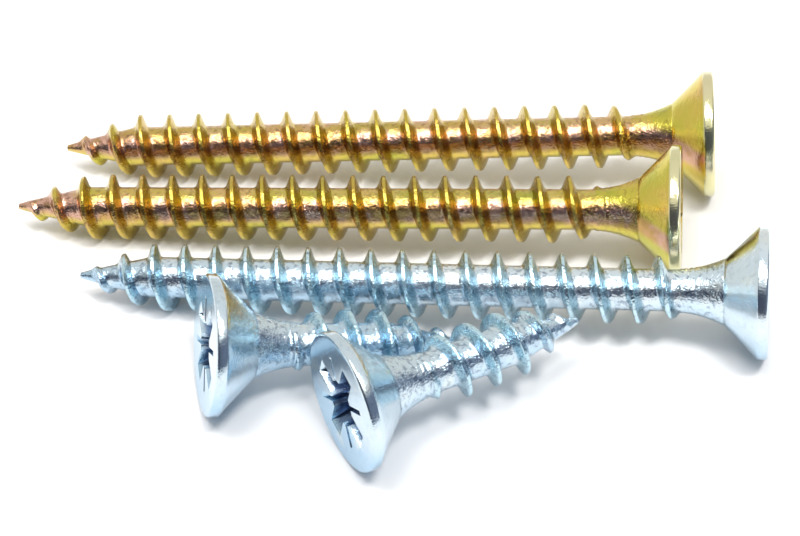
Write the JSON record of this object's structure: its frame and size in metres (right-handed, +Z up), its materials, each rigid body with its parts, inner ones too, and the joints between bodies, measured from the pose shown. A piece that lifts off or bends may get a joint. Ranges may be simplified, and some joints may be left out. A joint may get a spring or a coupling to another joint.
{
  "type": "wood screw",
  "caption": "Loose countersunk wood screws lying together, long and short, with cross-recessed heads and coarse threads that run from a smooth neck to a sharp point.",
  "frame": {"origin": "middle of the group in plan, on the surface the screws lie on", "axes": "+X along the long zinc screw towards its head, +Y from the short screws towards the rear yellow screw, +Z up from the surface"},
  "size_m": [0.0454, 0.032, 0.008],
  "materials": {
    "bright_zinc": "bright zinc plating, pale blue-white, glossy with fine tool marks",
    "yellow_zinc": "yellow passivated zinc plating, gold with pink and green tints, glossy with fine tool marks"
  },
  "bodies": {
    "long_zinc_screw_body": {"long_zinc_screw": "bright_zinc"},
    "long_yellow_screw_front_body": {"long_yellow_screw_front": "yellow_zinc"},
    "long_yellow_screw_rear_body": {"long_yellow_screw_rear": "yellow_zinc"},
    "short_zinc_screw_left_body": {"short_zinc_screw_left": "bright_zinc"},
    "short_zinc_screw_front_body": {"short_zinc_screw_front": "bright_zinc"}
  },
  "joints": [
    {"name": "long_yellow_front_lift", "type": "slide", "parent": "long_zinc_screw_body", "child": "long_yellow_screw_front_body", "axis": [0, 0, 1], "range_m": [0, 0.03]},
    {"name": "long_yellow_rear_lift", "type": "slide", "parent": "long_zinc_screw_body", "child": "long_yellow_screw_rear_body", "axis": [0, 0, 1], "range_m": [0, 0.03]},
    {"name": "short_zinc_left_lift", "type": "slide", "parent": "long_zinc_screw_body", "child": "short_zinc_screw_left_body", "axis": [0, 0, 1], "range_m": [0, 0.03]},
    {"name": "short_zinc_front_lift", "type": "slide", "parent": "long_zinc_screw_body", "child": "short_zinc_screw_front_body", "axis": [0, 0, 1], "range_m": [0, 0.03]}
  ]
}
